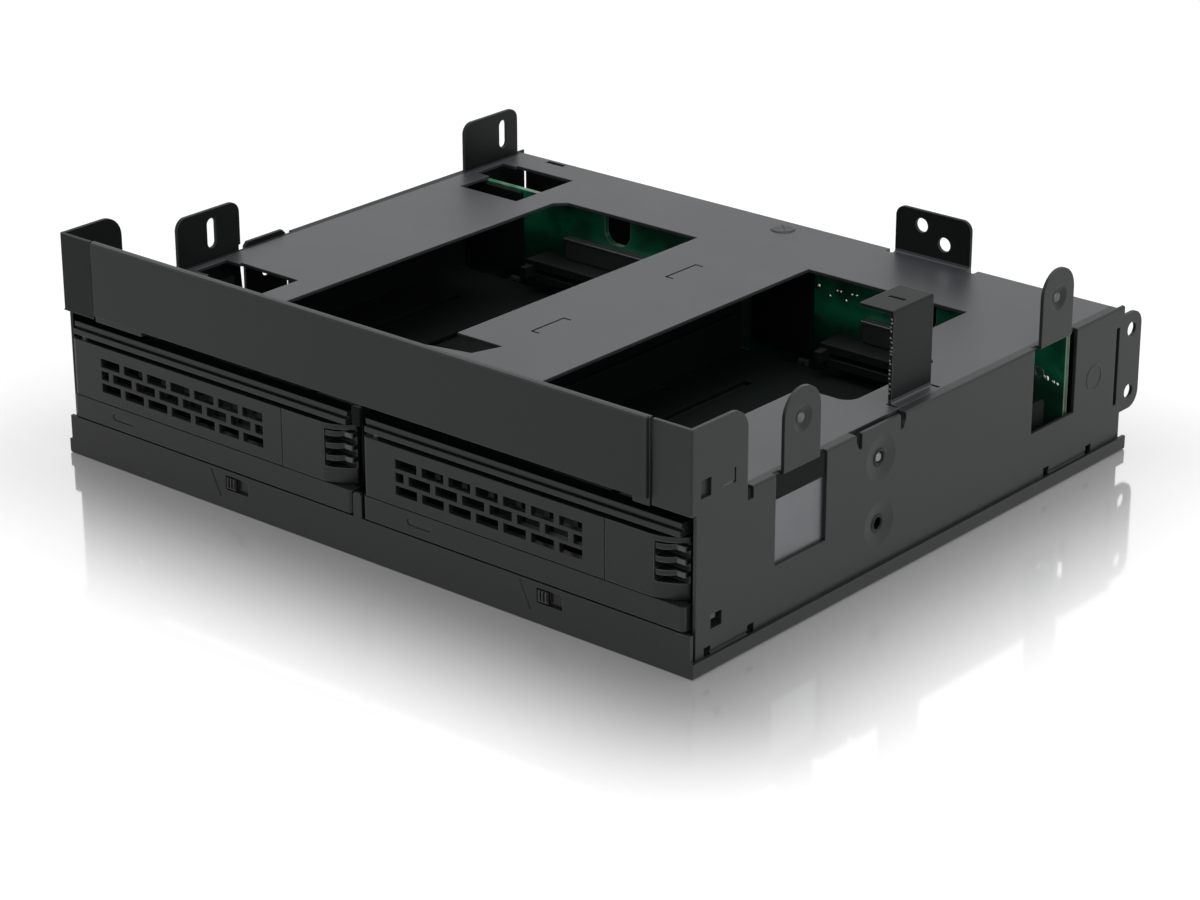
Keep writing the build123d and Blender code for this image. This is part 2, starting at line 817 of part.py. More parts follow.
# Ledges welded to both sides of the divider, on which the trays slide
with BuildPart() as centre_ledges:
    for side, turned in ((-1, Side.RIGHT), (1, Side.LEFT)):
        ledge_corners = [
            (side * (sheet / 2 + ledge_reach), ledge_top),
            (side * sheet / 2, ledge_top),
            (side * sheet / 2, ledge_top - ledge_reach),
        ]
        extrude(
            folded(facing(divider_front), ledge_corners, guide_plate, turned),
            amount=-(guide_end - divider_front),
        )
finish(centre_ledges.part, "centre_ledges")

# Outer guides: plated strips with a ledge for the tray, welded inside the walls, with a tall plate
# at the front end
plate_low = ledge_top - ledge_reach
for bay_name, side in (("left", -1), ("right", 1)):
    with BuildPart() as outer_guide:
        with BuildSketch(facing(guide_front)):
            with Locations((side * (inner_wall - guide_plate / 2), (ledge_top + plate_low) / 2)):
                Rectangle(guide_plate, ledge_reach)
            with Locations((side * (inner_wall - ledge_reach / 2), ledge_top - guide_plate / 2)):
                Rectangle(ledge_reach, guide_plate)
        extrude(amount=-(guide_end - guide_front))
        with BuildSketch(facing(guide_front)):
            with Locations((side * (inner_wall - guide_plate / 2), (guide_plate_top + plate_low) / 2)):
                Rectangle(guide_plate, guide_plate_top - plate_low)
        extrude(amount=-(guide_plate_rear - guide_front))
    finish(outer_guide.part, f"{bay_name}_outer_guide")

# Backplane board with a routed notch above each drive connector
with BuildPart() as backplane_board:
    with BuildSketch(facing(board_front)) as board_outline:
        span(board_side_gap + sheet - half_cage, half_cage - board_side_gap - sheet, board_low, board_top)
        for bay_x in bays.values():
            with BuildSketch(Plane.XY, mode=Mode.SUBTRACT) as notch:
                left = bay_x + board_notch_offset - board_notch_width / 2
                span(left, left + board_notch_width, board_notch_floor, board_top + board_notch_round)
                fillet(notch.vertices().group_by(Axis.Y)[0], board_notch_round)
    extrude(amount=-board_thickness)
finish(backplane_board.part, "backplane_board")

# Angle brackets that carry the ends of the board
with BuildPart() as board_brackets:
    for place in bracket_places:
        extrude(
            folded(
                across(place - bracket_width / 2),
                [(board_rear + bracket_foot, sheet), (board_rear, sheet), (board_rear, bracket_top)],
                sheet,
                Side.RIGHT,
            ),
            amount=bracket_width,
        )
finish(board_brackets.part, "board_brackets")

# Centre bracket from the base pan to the roof, behind the middle of the board
with BuildPart() as centre_bracket:
    extrude(
        folded(
            across(-bracket_width / 2),
            [(board_rear + bracket_foot, sheet), (board_rear, sheet), (board_rear, roof_height - sheet),
             (roof_depth - roof_flange_gap, roof_height - sheet)],
            sheet,
            Side.RIGHT,
        ),
        amount=bracket_width,
    )
finish(centre_bracket.part, "centre_bracket")

# Rear panel bent up from the floor, with a window in each bay round the sockets
panel_depth = base_depth - sheet
with BuildPart() as rear_panel:
    extrude(
        folded(
            across(panel_side_gap - inner_wall),
            [(panel_depth - panel_foot, sheet), (panel_depth, sheet), (panel_depth, panel_top)],
            sheet,
            Side.LEFT,
        ),
        amount=2 * (inner_wall - panel_side_gap),
    )
    for bay_x in bays.values():
        with BuildSketch(facing(panel_depth, bay_x)):
            span(panel_window_left, panel_window_right, *panel_window_heights)
        extrude(amount=sheet, mode=Mode.SUBTRACT)
finish(rear_panel.part, "rear_panel")

# Electrical parts of the board, one set for each bay
for bay_name, bay_x in bays.items():
    length, reach, height = connector_size
    slot_length, slot_reach, slot_height = connector_slot
    horn_length, horn_reach, horn_height = connector_horn
    with BuildPart() as drive_connector:
        with BuildSketch(facing(board_front, bay_x)):
            with Locations((0, connector_height)):
                Rectangle(length, height)
        extrude(amount=reach)
        with BuildSketch(facing(board_front - reach, bay_x)):
            with Locations((0, connector_height)):
                Rectangle(slot_length, slot_height)
            with Locations((slot_length / 2 - slot_height / 2, connector_height - connector_key)):
                Rectangle(slot_height, connector_key + slot_height)
        extrude(amount=-slot_reach, mode=Mode.SUBTRACT)
        with BuildSketch(facing(board_front - reach, bay_x)):
            for horn_side in (-1, 1):
                with Locations((horn_side * (length - horn_length) / 2, connector_height)):
                    Rectangle(horn_length, horn_height)
        extrude(amount=horn_reach, taper=horn_height)
    finish(drive_connector.part, f"{bay_name}_drive_connector")

    length, reach, height = data_socket_size
    slot_length, slot_reach, slot_height = data_socket_slot
    with BuildPart() as data_socket:
        with BuildSketch(facing(board_rear, bay_x)):
            with Locations((data_socket_x, socket_height)):
                Rectangle(length, height)
        extrude(amount=-reach)
        with BuildSketch(facing(board_rear + reach, bay_x)):
            with Locations((data_socket_x, socket_height)):
                Rectangle(slot_length, slot_height)
            key_x = data_socket_x + slot_length / 2 - slot_height / 2
            with Locations((key_x, socket_height - connector_key)):
                Rectangle(slot_height, connector_key + slot_height)
        extrude(amount=slot_reach, mode=Mode.SUBTRACT)
    finish(data_socket.part, f"{bay_name}_data_socket")

    length, reach, height = power_socket_size
    with BuildPart() as power_socket:
        with BuildSketch(facing(board_rear, bay_x)) as power_outline:
            with Locations((power_socket_x, socket_height)):
                Rectangle(length, height)
            chamfer(power_outline.vertices().group_by(Axis.Y)[-1], connector_key)
        extrude(amount=-reach)
        with BuildSketch(facing(board_rear + reach, bay_x)):
            with Locations((power_socket_x, socket_height)):
                with GridLocations(power_pin_pitch, 0, power_pins, 1):
                    Rectangle(power_pin_size, power_pin_size)
        extrude(amount=power_pin_depth, mode=Mode.SUBTRACT)
    finish(power_socket.part, f"{bay_name}_power_socket")

with BuildPart() as status_lamps:
    for bay_x in bays.values():
        with BuildSketch(facing(board_front, bay_x)):
            with Locations((guide_x, guide_low + guide_bar / 2)):
                Rectangle(lamp_size[0], lamp_size[2])
        extrude(amount=lamp_size[1])
finish(status_lamps.part, "status_lamps")


def coil(plane, radius, wire, turns, length):
    """Spring of square wire, wound round the plane's normal in straight steps."""
    steps = turns * coil_sides
    corners = []
    for step in range(steps + 1):
        spoke = Vector(radius - wire / 2, 0, 0).rotate(Axis.Z, step * 360 / coil_sides)
        rise = Vector(0, 0, wire + (length - 2 * wire) * step / steps)
        corners.append(plane.from_local_coords(spoke + rise))
    with BuildPart() as spring:
        with BuildLine():
            winding = Polyline(*corners)
        with BuildSketch(Plane(origin=corners[0], x_dir=plane.z_dir, z_dir=winding % 0)):
            Rectangle(wire, wire)
        sweep(transition=Transition.RIGHT)
    return spring.part


# Trays, one for each bay
for bay_name, bay_x in bays.items():
    tray_left = -half_tray
    latch_start = tray_left + latch_left
    latch_stop = tray_left + latch_right
    peg_left = latch_start + peg_start
    pocket_low, pocket_high = spring_pocket_heights
    pin_centre = (tray_left + hinge_x, hinge_y)

    # Bezel: lower strip with the lens slot, upper rails, and a vented wall behind the lever
    with BuildPart() as tray_bezel:
        with BuildSketch(level(tray_low, bay_x)) as strip:
            span(-half_tray, half_tray, 0, bezel_lip)
            fillet(strip.vertices().group_by(Axis.Y)[0], tray_edge_round)
            span(-half_bezel_back, half_bezel_back, bezel_lip - tray_edge_round, bezel_depth)
        extrude(amount=strip_top - tray_low)
        with BuildSketch(across(bay_x - half_tray + rail_inset)):
            with BuildLine():
                Polyline(
                    (0, rail_low),
                    (0, rail_top),
                    (rail_groove_depth, rail_top),
                    (rail_groove_depth, rail_top + rail_groove),
                    (strip_setback, rail_top + rail_groove),
                    (strip_setback, tray_top),
                    (bezel_lip, tray_top),
                    (bezel_depth, rail_top),
                    (bezel_depth, rail_low),
                    close=True,
                )
            make_face()
        extrude(amount=tray_width - 2 * rail_inset)
        with BuildSketch(facing(back_wall_front, bay_x)):
            span(-half_bezel_back, half_bezel_back, strip_top, rail_low)
            with Locations((tray_left + (brick_left + brick_right) / 2, brick_centre_height)):
                with GridLocations(brick_pitch, 0, brick_columns, 1):
                    Rectangle(*vent_size, mode=Mode.SUBTRACT)
            with Locations((peg_left + (peg_length + latch_travel) / 2, door_middle)):
                Rectangle(
                    peg_length + latch_travel + 2 * peg_room, peg_height + 2 * peg_room,
                    mode=Mode.SUBTRACT,
                )
        extrude(amount=-bezel_wall)
        # room for the lever to turn, and the holes of its pin
        with BuildSketch(level(strip_top, bay_x)):
            with Locations(pin_centre):
                Circle(hinge_room)
        extrude(amount=rail_low - strip_top, mode=Mode.SUBTRACT)
        with BuildSketch(level(strip_top - pin_bury, bay_x)):
            with Locations(pin_centre):
                Circle(pin_radius)
        extrude(amount=rail_low - strip_top + 2 * pin_bury, mode=Mode.SUBTRACT)
        # post that the latch spring bears on
        with BuildSketch(facing(latch_depth / 2, bay_x)):
            post_left, post_right = spring_post_span
            span(
                latch_start + post_left, latch_start + post_right,
                pocket_low + peg_room, pocket_high - peg_room,
            )
        extrude(amount=-(back_wall_front - latch_depth / 2))
        # lens slot, and the channel of the light guide behind it
        with BuildSketch(facing(0, bay_x)):
            with Locations((guide_x, lens_height)):
                SlotOverall(lens_size[0] + 2 * pan_gap, lens_size[1] + 2 * pan_gap)
        extrude(amount=-bezel_depth / 2, mode=Mode.SUBTRACT)
        with BuildSketch(facing(bezel_lip - pan_gap, bay_x)):
            channel_half = lens_size[0] / 2 + pan_gap
            channel_top = lens_height + lens_size[1] / 2 + pan_gap
            span(guide_x - channel_half, guide_x + channel_half, tray_low, channel_top)
        extrude(amount=-bezel_depth, mode=Mode.SUBTRACT)
    finish(tray_bezel.part, f"{bay_name}_tray_bezel")

    # Pan: folded floor and sides, slotted for air, with the drive's screw holes
    with BuildPart() as tray_pan:
        extrude(
            folded(
                facing(bezel_depth, bay_x),
                [(-pan_half, pan_side_top), (-pan_half, pan_floor_low), (pan_half, pan_floor_low),
                 (pan_half, pan_side_top)],
                pan_sheet,
                Side.LEFT,
            ),
            amount=-(pan_rear - bezel_depth),
        )
        for side in (-1, 1):
            with BuildSketch(across(bay_x + side * pan_half)):
                span(pan_tongue_front, bezel_depth + corner_round, pan_floor_top, pan_tongue_top)
            extrude(amount=-side * pan_sheet)
        with BuildSketch(level(pan_floor_low, bay_x)):
            with Locations((0, (bezel_depth + pan_rear) / 2)):
                with GridLocations(*pan_slot_pitch, 4, 2):
                    Rectangle(*pan_slot)
            first = drive_rear - drive_screw_first
            with Locations((0, first - drive_screw_pitch_y / 2)):
                with GridLocations(drive_screw_pitch_x, drive_screw_pitch_y, 2, 2):
                    Circle(drive_screw_radius)
        extrude(amount=pan_sheet, mode=Mode.SUBTRACT)
        corners = tray_pan.edges().filter_by(Axis.X).group_by(Axis.Z)[-1]
        chamfer(corners, corner_round)
    finish(tray_pan.part, f"{bay_name}_tray_pan")

    # Light guide: lens, a turn down behind it, and the bar under the floor
    with BuildPart() as light_guide:
        with BuildSketch(facing(lens_setback, bay_x)):
            with Locations((guide_x, lens_height)):
                SlotOverall(*lens_size)
        extrude(amount=-(guide_turn[1] - lens_setback))
        with BuildSketch(across(bay_x + guide_x - guide_width / 2)):
            span(*guide_turn, guide_low, lens_height)
            guide_end_depth = board_front - lamp_size[1] - lamp_gap
            span(guide_turn[0], guide_end_depth, guide_low, guide_low + guide_bar)
        extrude(amount=guide_width)
    finish(light_guide.part, f"{bay_name}_light_guide")

    # Hinge pin of the lever, held in the bezel above and below
    with BuildPart() as lever_pin:
        with BuildSketch(level(strip_top - pin_bury, bay_x)):
            with Locations(pin_centre):
                Circle(pin_radius)
        extrude(amount=rail_low - strip_top + 2 * pin_bury)
    finish(lever_pin.part, f"{bay_name}_lever_pin")

    # Spring wound round the pin, in the gap of the knuckle
    spring_origin = (bay_x + pin_centre[0], front + pin_centre[1], door_middle - knuckle_gap / 2 + pan_gap)
    lever_spring = coil(
        Plane(origin=spring_origin), lever_spring_radius, spring_wire, lever_spring_turns,
        knuckle_gap - 2 * pan_gap,
    )
    finish(lever_spring, f"{bay_name}_lever_spring")

    # Lever: a ribbed skin with the staggered grille, its knuckle, and the tooth that the latch holds
    with BuildPart() as lever:
        lever_end = tray_left + lever_left
        lever_stop = tray_left + lever_right
        with BuildSketch(level(door_low, bay_x)) as lever_plan:
            span(lever_end, lever_stop, 0, lever_thickness)
            fillet(lever_plan.vertices().group_by(Axis.X)[0], lever_end_round - pick)
            with Locations(pin_centre):
                Circle(knuckle_radius)
        extrude(amount=door_top - door_low)
        with BuildSketch(facing(lever_skin, bay_x)):
            span(
                lever_end + hinge_x + knuckle_radius, lever_stop - lever_rim,
                door_low + lever_rim, door_top - lever_rim,
            )
        extrude(amount=-lever_thickness, mode=Mode.SUBTRACT)
        with BuildSketch(facing(0, bay_x)):
            field_left = tray_left + brick_left
            field_right = tray_left + brick_right
            for row in range(brick_rows):
                row_middle = brick_centre_height + (row - (brick_rows - 1) / 2) * brick_row_pitch
                shift = -brick_pitch / 2 if row % 2 else 0
                for column in range(brick_columns + row % 2):
                    left = field_left + shift + column * brick_pitch
                    span(
                        max(left, field_left), min(left + brick_length, field_right),
                        row_middle - brick_height / 2, row_middle + brick_height / 2,
                    )
        extrude(amount=-lever_thickness, mode=Mode.SUBTRACT)
        with BuildSketch(level(door_low, bay_x)):
            with Locations(pin_centre):
                Circle(pin_radius + pin_fit)
        extrude(amount=door_top - door_low, mode=Mode.SUBTRACT)
        with BuildSketch(level(door_middle - knuckle_gap / 2, bay_x)):
            with Locations(pin_centre):
                Circle(knuckle_radius)
        extrude(amount=knuckle_gap, mode=Mode.SUBTRACT)
        with BuildSketch(level(door_middle - hook_tooth_height / 2, bay_x)):
            tooth_left = lever_stop - hook_tooth_root
            tooth_right = lever_stop - hook_tooth_tip
            span(tooth_left, (tooth_left + tooth_right) / 2, lever_skin, hook_tooth_depth)
            span(tooth_left, tooth_right, catch_depths[1] + peg_room / 2, hook_tooth_depth)
        extrude(amount=hook_tooth_height)
    finish(lever.part, f"{bay_name}_lever")

    # Latch: flat face that rolls into a scoop, with three fins across the finger grip
    with BuildPart() as latch:
        with BuildSketch(level(door_low, bay_x)):
            with BuildLine():
                face_line = Line((latch_start, 0), (latch_stop - scoop_length, 0))
                scoop = ThreePointArc(
                    face_line @ 1, (latch_stop - scoop_bulge[0], scoop_bulge[1]), (latch_stop, scoop_depth)
                )
                Polyline(
                    scoop @ 1, (latch_stop, latch_depth), (latch_start, latch_depth), face_line @ 0
                )
            make_face()
        extrude(amount=door_top - door_low)
        grip_left = latch_stop - grip_length
        with BuildSketch(facing(0, bay_x)):
            span(grip_left, latch_stop, grip_low, grip_high)
        extrude(amount=-(latch_depth - slit), mode=Mode.SUBTRACT)
        for height in (fin_middle - fin_pitch, fin_middle, fin_middle + fin_pitch):
            with BuildSketch(level(height - fin_thickness / 2, bay_x)):
                with BuildLine():
                    fin_curve = ThreePointArc(
                        (latch_stop - fin_length, crease_depth),
                        (latch_stop - fin_bulge[0], fin_bulge[1]),
                        (latch_stop - fin_nub_length, fin_nub_depth),
                    )
                    Polyline(
                        fin_curve @ 1,
                        (latch_stop, fin_nub_depth),
                        (latch_stop, latch_depth),
                        (grip_left, latch_depth),
                        (grip_left, lever_skin - corner_round),
                        fin_curve @ 0,
                    )
                make_face()
            extrude(amount=fin_thickness)
        # catch in front of the lever's tooth, peg in the slot of the back wall, pocket of the spring
        with BuildSketch(level(door_middle - hook_tooth_height / 2, bay_x)):
            span(latch_start - catch_reach, latch_start + pan_gap, *catch_depths)
        extrude(amount=hook_tooth_height)
        with BuildSketch(facing(latch_depth, bay_x)):
            span(
                peg_left, peg_left + peg_length, door_middle - peg_height / 2, door_middle + peg_height / 2
            )
        extrude(amount=-(bezel_depth - latch_depth - peg_room))
        with BuildSketch(facing(latch_depth, bay_x)):
            pocket_left, pocket_right = spring_pocket_span
            span(latch_start + pocket_left, latch_start + pocket_right, pocket_low, pocket_high)
        extrude(amount=latch_depth / 2 + pan_gap, mode=Mode.SUBTRACT)
    finish(latch.part, f"{bay_name}_latch")

    # Spring that returns the latch, drawn as short as the full travel leaves it
    spring_start = latch_start + spring_pocket_span[0] + latch_travel + pan_gap
    spring_stop = latch_start + spring_post_span[0]
    spring_depth = (latch_depth + latch_depth / 2) / 2
    latch_spring = coil(
        Plane(
            origin=(bay_x + spring_start, front + spring_depth, (pocket_low + pocket_high) / 2),
            x_dir=(0, 1, 0), z_dir=(1, 0, 0),
        ),
        latch_spring_radius, spring_wire, latch_spring_turns, spring_stop - spring_start,
    )
    finish(latch_spring, f"{bay_name}_latch_spring")

    # Lock slider: knob in the lip's opening on a plate behind the lip
    with BuildPart() as lock_slider:
        plate_length, plate_height = lock_plate
        knob_length, knob_height = lock_knob
        opening_middle = (lock_window[2] + lock_window[3]) / 2
        knob_x = lock_knob_left + knob_length / 2
        with BuildSketch(facing(sheet, bay_x)):
            with Locations((knob_x, opening_middle)):
                Rectangle(plate_length, plate_height)
        extrude(amount=-sheet)
        with BuildSketch(facing(sheet, bay_x)):
            with Locations((knob_x, opening_middle)):
                Rectangle(knob_length, knob_height)
        extrude(amount=sheet)
    finish(lock_slider.part, f"{bay_name}_lock_slider")
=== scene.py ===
import math
import random
import bmesh
import bpy
from mathutils import Matrix, Vector


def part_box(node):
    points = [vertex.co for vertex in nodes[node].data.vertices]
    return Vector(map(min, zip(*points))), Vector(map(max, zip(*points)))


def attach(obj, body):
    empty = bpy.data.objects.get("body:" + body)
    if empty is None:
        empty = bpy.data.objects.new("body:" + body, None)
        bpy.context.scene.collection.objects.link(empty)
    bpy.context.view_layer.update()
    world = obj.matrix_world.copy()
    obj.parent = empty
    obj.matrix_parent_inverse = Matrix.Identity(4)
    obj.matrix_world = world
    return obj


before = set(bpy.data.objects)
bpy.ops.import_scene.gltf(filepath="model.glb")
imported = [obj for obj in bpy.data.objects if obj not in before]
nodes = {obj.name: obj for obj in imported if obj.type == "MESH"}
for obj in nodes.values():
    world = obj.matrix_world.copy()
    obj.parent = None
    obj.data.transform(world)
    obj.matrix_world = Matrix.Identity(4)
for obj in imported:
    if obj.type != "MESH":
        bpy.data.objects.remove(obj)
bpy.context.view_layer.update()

# ---------------------------------------------------------------------------------------------
# Folded chassis: roof, header, two walls with their ears, hook and rear tab. It is steel sheet of
# 1 mm, laser-cut and folded from one blank, then powder-coated in a satin near-black that is
# painted paler along the cut edges, partly as wear and partly as painted highlight. The coat is
# painted in three shades: plain on header and right wall, a paler copy on the roof as painted
# light from above, and a darker copy on the left wall, hook and rear tab as painted shade.
# ---------------------------------------------------------------------------------------------
mm = 0.001
steel_black = (0.0165, 0.0182, 0.0180, 1)
steel_edge = (0.110, 0.118, 0.117, 1)
# near-black for the painted shade on the bezel's top lip, faded in over a short height
painted_shade_black = (0.0012, 0.0016, 0.0014, 1)
shade_fade = 0.15


def new_finish(name):
    """Empty material, with its node tree and its shader."""
    mat = bpy.data.materials.new(name)
    mat.use_nodes = True
    tree = mat.node_tree
    return mat, tree, tree.nodes["Principled BSDF"]


def feed(tree, socket, source):
    """Joins a socket to another node's output, or sets it where the source is a plain value."""
    if isinstance(source, bpy.types.NodeSocket):
        tree.links.new(source, socket)
    else:
        socket.default_value = source


def mottle(tree, where, scale, detail=2.0, rough=0.5):
    """Cloudy pattern over the piece."""
    noise = tree.nodes.new("ShaderNodeTexNoise")
    noise.inputs["Scale"].default_value = scale
    noise.inputs["Detail"].default_value = detail
    noise.inputs["Roughness"].default_value = rough
    tree.links.new(where, noise.inputs["Vector"])
    return noise.outputs["Fac"]


def ranged(tree, value, low=0.0, high=1.0, first=0.0, last=1.0, smooth=False):
    """Goes from first to last as the value goes from low to high."""
    span = tree.nodes.new("ShaderNodeMapRange")
    if smooth:
        span.interpolation_type = "SMOOTHSTEP"
    span.inputs["From Min"].default_value = low
    span.inputs["From Max"].default_value = high
    span.inputs["To Min"].default_value = first
    span.inputs["To Max"].default_value = last
    tree.links.new(value, span.inputs["Value"])
    return span.outputs["Result"]


def mixed(tree, share, first, second):
    """Goes from the first colour to the second as the share goes from 0 to 1."""
    mix = tree.nodes.new("ShaderNodeMix")
    mix.data_type = "RGBA"
    feed(tree, mix.inputs["A"], first)
    feed(tree, mix.inputs["B"], second)
    tree.links.new(share, mix.inputs["Factor"])
    return mix.outputs["Result"]


def combined(tree, operation, first, second):
    """Two numbers worked into one."""
    node = tree.nodes.new("ShaderNodeMath")
    node.operation = operation
    feed(tree, node.inputs[0], first)
    feed(tree, node.inputs[1], second)
    return node.outputs["Value"]


def compared(tree, operation, first, second=(0, 0, 0), result="Vector"):
    """Two directions or places worked into one, or into a number."""
    node = tree.nodes.new("ShaderNodeVectorMath")
    node.operation = operation
    feed(tree, node.inputs[0], first)
    feed(tree, node.inputs[1], second)
    return node.outputs[result]


def height_of(tree, where):
    """Height above the underside of the cage."""
    parted = tree.nodes.new("ShaderNodeSeparateXYZ")
    tree.links.new(where, parted.inputs["Vector"])
    return parted.outputs["Z"]


def edge_finder(tree, radius, samples):
    """1 on a flat face and less along its edges, and the normal of a softly rounded corner."""
    soft = tree.nodes.new("ShaderNodeBevel")
    soft.samples = samples
    soft.inputs["Radius"].default_value = radius
    rounded = soft.outputs["Normal"]
    face = tree.nodes.new("ShaderNodeNewGeometry")
    return compared(tree, "DOT_PRODUCT", rounded, face.outputs["Normal"], result="Value"), rounded


def raise_grain(tree, shader, height, strength, depth, normal=None):
    """Shallow relief on the shader, laid over a normal where one is given."""
    bump = tree.nodes.new("ShaderNodeBump")
    bump.inputs["Strength"].default_value = strength
    bump.inputs["Distance"].default_value = depth
    tree.links.new(height, bump.inputs["Height"])
    if normal is not None:
        tree.links.new(normal, bump.inputs["Normal"])
    tree.links.new(bump.outputs["Normal"], shader.inputs["Normal"])


def satin_skin(name, coat, edge, rough=0.42, grain=2600.0, relief=0.05, wear_and_highlight=0.35, metal=0.0, ior=1.34,
               shade_above=None):
    """Powder coat or moulded skin: a fine grain, cloudy gloss and paler edges, partly wear and partly painted
    highlight; with a height given, painted shade above it.
    """
    mat, tree, shader = new_finish(name)
    shader.inputs["Metallic"].default_value = metal
    shader.inputs["IOR"].default_value = ior
    where = tree.nodes.new("ShaderNodeTexCoord").outputs["Object"]
    fine = mottle(tree, where, grain, detail=3.0)
    cloud = mottle(tree, where, 38.0, detail=5.0, rough=0.62)
    # the colour wanders a little from place to place and grain to grain
    darker, paler, fleck = ([share * c for c in coat[:3]] + [1] for share in (0.80, 1.22, 1.7))
    tone = mixed(tree, cloud, darker, paler)
    speckled = mixed(tree, ranged(tree, fine, 0.58, 0.80), tone, fleck)
    # paler edges, found where a rounded corner would turn away from the flat face: partly wear, partly
    # painted highlight for the light that rounded edges catch
    turn, rounded = edge_finder(tree, 0.35 * mm, samples=6)
    rubbed = ranged(tree, turn, 0.985, 0.86, last=wear_and_highlight)
    patchy = ranged(tree, cloud, 0.30, 0.62, first=0.35)
    colour = mixed(tree, combined(tree, "MULTIPLY", rubbed, patchy), speckled, edge)
    # above the given height the colour is painted near-black and the gloss taken away: painted shade
    if shade_above:
        lip = ranged(tree, height_of(tree, where), (shade_above - shade_fade) * mm, (shade_above + shade_fade) * mm)
        colour = mixed(tree, lip, colour, painted_shade_black)
        tree.links.new(ranged(tree, lip, first=0.5, last=0.0), shader.inputs["Specular IOR Level"])
    tree.links.new(colour, shader.inputs["Base Color"])
    gloss = ranged(tree, cloud, first=rough - 0.06, last=rough + 0.08)
    tree.links.new(gloss, shader.inputs["Roughness"])
    raise_grain(tree, shader, fine, relief, 0.1 * mm, normal=rounded)
    return mat


def dress(names, mat):
    """Gives CAD nodes their finish."""
    for name in names:
        piece = nodes[name]
        piece.data.materials.clear()
        piece.data.materials.append(mat)


chassis_coat = satin_skin("chassis powder coat", steel_black, steel_edge, wear_and_highlight=0.5)
dress(["chassis_header", "chassis_right_wall"], chassis_coat)
# the roof gets a paler, glossier copy of the coat: painted light from the lamp above
roof_painted_light_coat = satin_skin(
    "roof powder coat painted light", coat=(0.0272, 0.0295, 0.0330, 1), edge=steel_edge, wear_and_highlight=0.5, ior=1.52,
)
dress(["chassis_roof"], roof_painted_light_coat)
# the left wall, hook and rear tab get a darker copy of the coat, with pale edges: painted shade
painted_shade_coat = satin_skin(
    "powder coat painted shade", coat=(0.0066, 0.0084, 0.0084, 1), edge=(0.140, 0.148, 0.149, 1), rough=0.46,
    wear_and_highlight=0.8, ior=1.24,
)
dress(["chassis_hook", "chassis_rear_tab", "chassis_left_wall"], painted_shade_coat)

# ---------------------------------------------------------------------------------------------
# Small pressed details of the right wall, all formed in its own sheet: the nub in the
# middle of each tongue's dimple, in pale metal as painted highlight for the glint on its dome,
# the rolled rim of the dished holes and the faint ring that the press left near the rear.
# ---------------------------------------------------------------------------------------------
front_face = -95.0
wall_face = 110.0
rightward = (1, 0, 0)
nub_outline = ((-0.2, 1.45), (0.1, 1.4), (0.45, 1.05), (0.65, 0.5))
nub_seat = wall_face - 0.8
nub_depths = (42.7, 154.0)
nub_height = 54.3
rim_outline = ((-0.1, 1.75), (0.22, 1.85), (0.22, 2.35), (-0.1, 2.75))
dish_seat = wall_face - 0.5
dish_depth = 75.5
dish_heights = (15.4, 33.4)
press_outline = ((-0.1, 3.2), (0.12, 3.35), (0.12, 3.65), (-0.1, 3.8))
press_depth = 173.7
press_height = 25.8


def made(name, body_mesh, mat, body):
    """Turns finished mesh code into a piece that rides on its body."""
    bmesh.ops.recalc_face_normals(body_mesh, faces=body_mesh.faces)
    shape = bpy.data.meshes.new(name)
    body_mesh.to_mesh(shape)
    body_mesh.free()
    shape.materials.append(mat)
    piece = bpy.data.objects.new(name, shape)
    bpy.context.scene.collection.objects.link(piece)
    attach(piece, body)


def band(body_mesh, low, high):
    """Faces between two rings of as many points."""
    count = len(low)
    for step in range(count):
        after = (step + 1) % count
        body_mesh.faces.new((low[step], low[after], high[after], high[step]))


def spun(name, centres, axis, outline, mat, body, hollow=False, sides=28):
    """Round pieces turned about an axis: the outline gives (height, radius) from the seat outward."""
    body_mesh = bmesh.new()
    out = Vector(axis)
    first = out.orthogonal().normalized()
    second = out.cross(first)
    turns = [2 * math.pi * step / sides for step in range(sides)]
    arms = [first * math.cos(turn) + second * math.sin(turn) for turn in turns]
    for centre in centres:
        rings = []
        for height, radius in outline:
            rings.append(
                [body_mesh.verts.new((Vector(centre) + out * height + arm * radius) * mm) for arm in arms]
            )
        for low, high in zip(rings, rings[1:] + rings[:1] if hollow else rings[1:]):
            band(body_mesh, low, high)
        if not hollow:
            body_mesh.faces.new(rings[0])
            body_mesh.faces.new(rings[-1])
    made(name, body_mesh, mat, body)


def at(x, depth, z):
    """Point by its distance behind the front face, in mm."""
    return (x, front_face + depth, z)


bare_steel_and_highlight = satin_skin(
    "bare steel painted highlight", coat=(0.105, 0.110, 0.110, 1), edge=(0.42, 0.43, 0.43, 1), rough=0.34, grain=1800.0,
    metal=0.5, wear_and_highlight=0.9,
)
# the nubs' pale metal is painted highlight for the glint on their domes
spun(
    "tongue_nubs", [at(nub_seat, depth, nub_height) for depth in nub_depths], rightward, nub_outline,
    bare_steel_and_highlight, "cage",
)
# the rims take the darker, shade-painted copy of the coat
spun(
    "wall_hole_rims", [at(dish_seat, dish_depth, height) for height in dish_heights], rightward,
    rim_outline, painted_shade_coat, "cage", hollow=True,
)
spun(
    "press_mark", [at(wall_face, press_depth, press_height)], rightward, press_outline, chassis_coat,
    "cage", hollow=True,
)

# ---------------------------------------------------------------------------------------------
# Webs left behind the square holes of the ears, which are pressed into the sheet rather than cut
# through and are coated with it, and the bright spring-steel clip that shows in the foot hole of
# each side wall.
# ---------------------------------------------------------------------------------------------
behind_wall = 108.98
web_back = 108.5
web_fore, web_aft = 2.9, 7.9
web_low, web_high = 45.1, 50.9
clip_back = 108.3
clip_fore, clip_aft = 8.3, 10.9
clip_low, clip_high = 12.3, 14.2


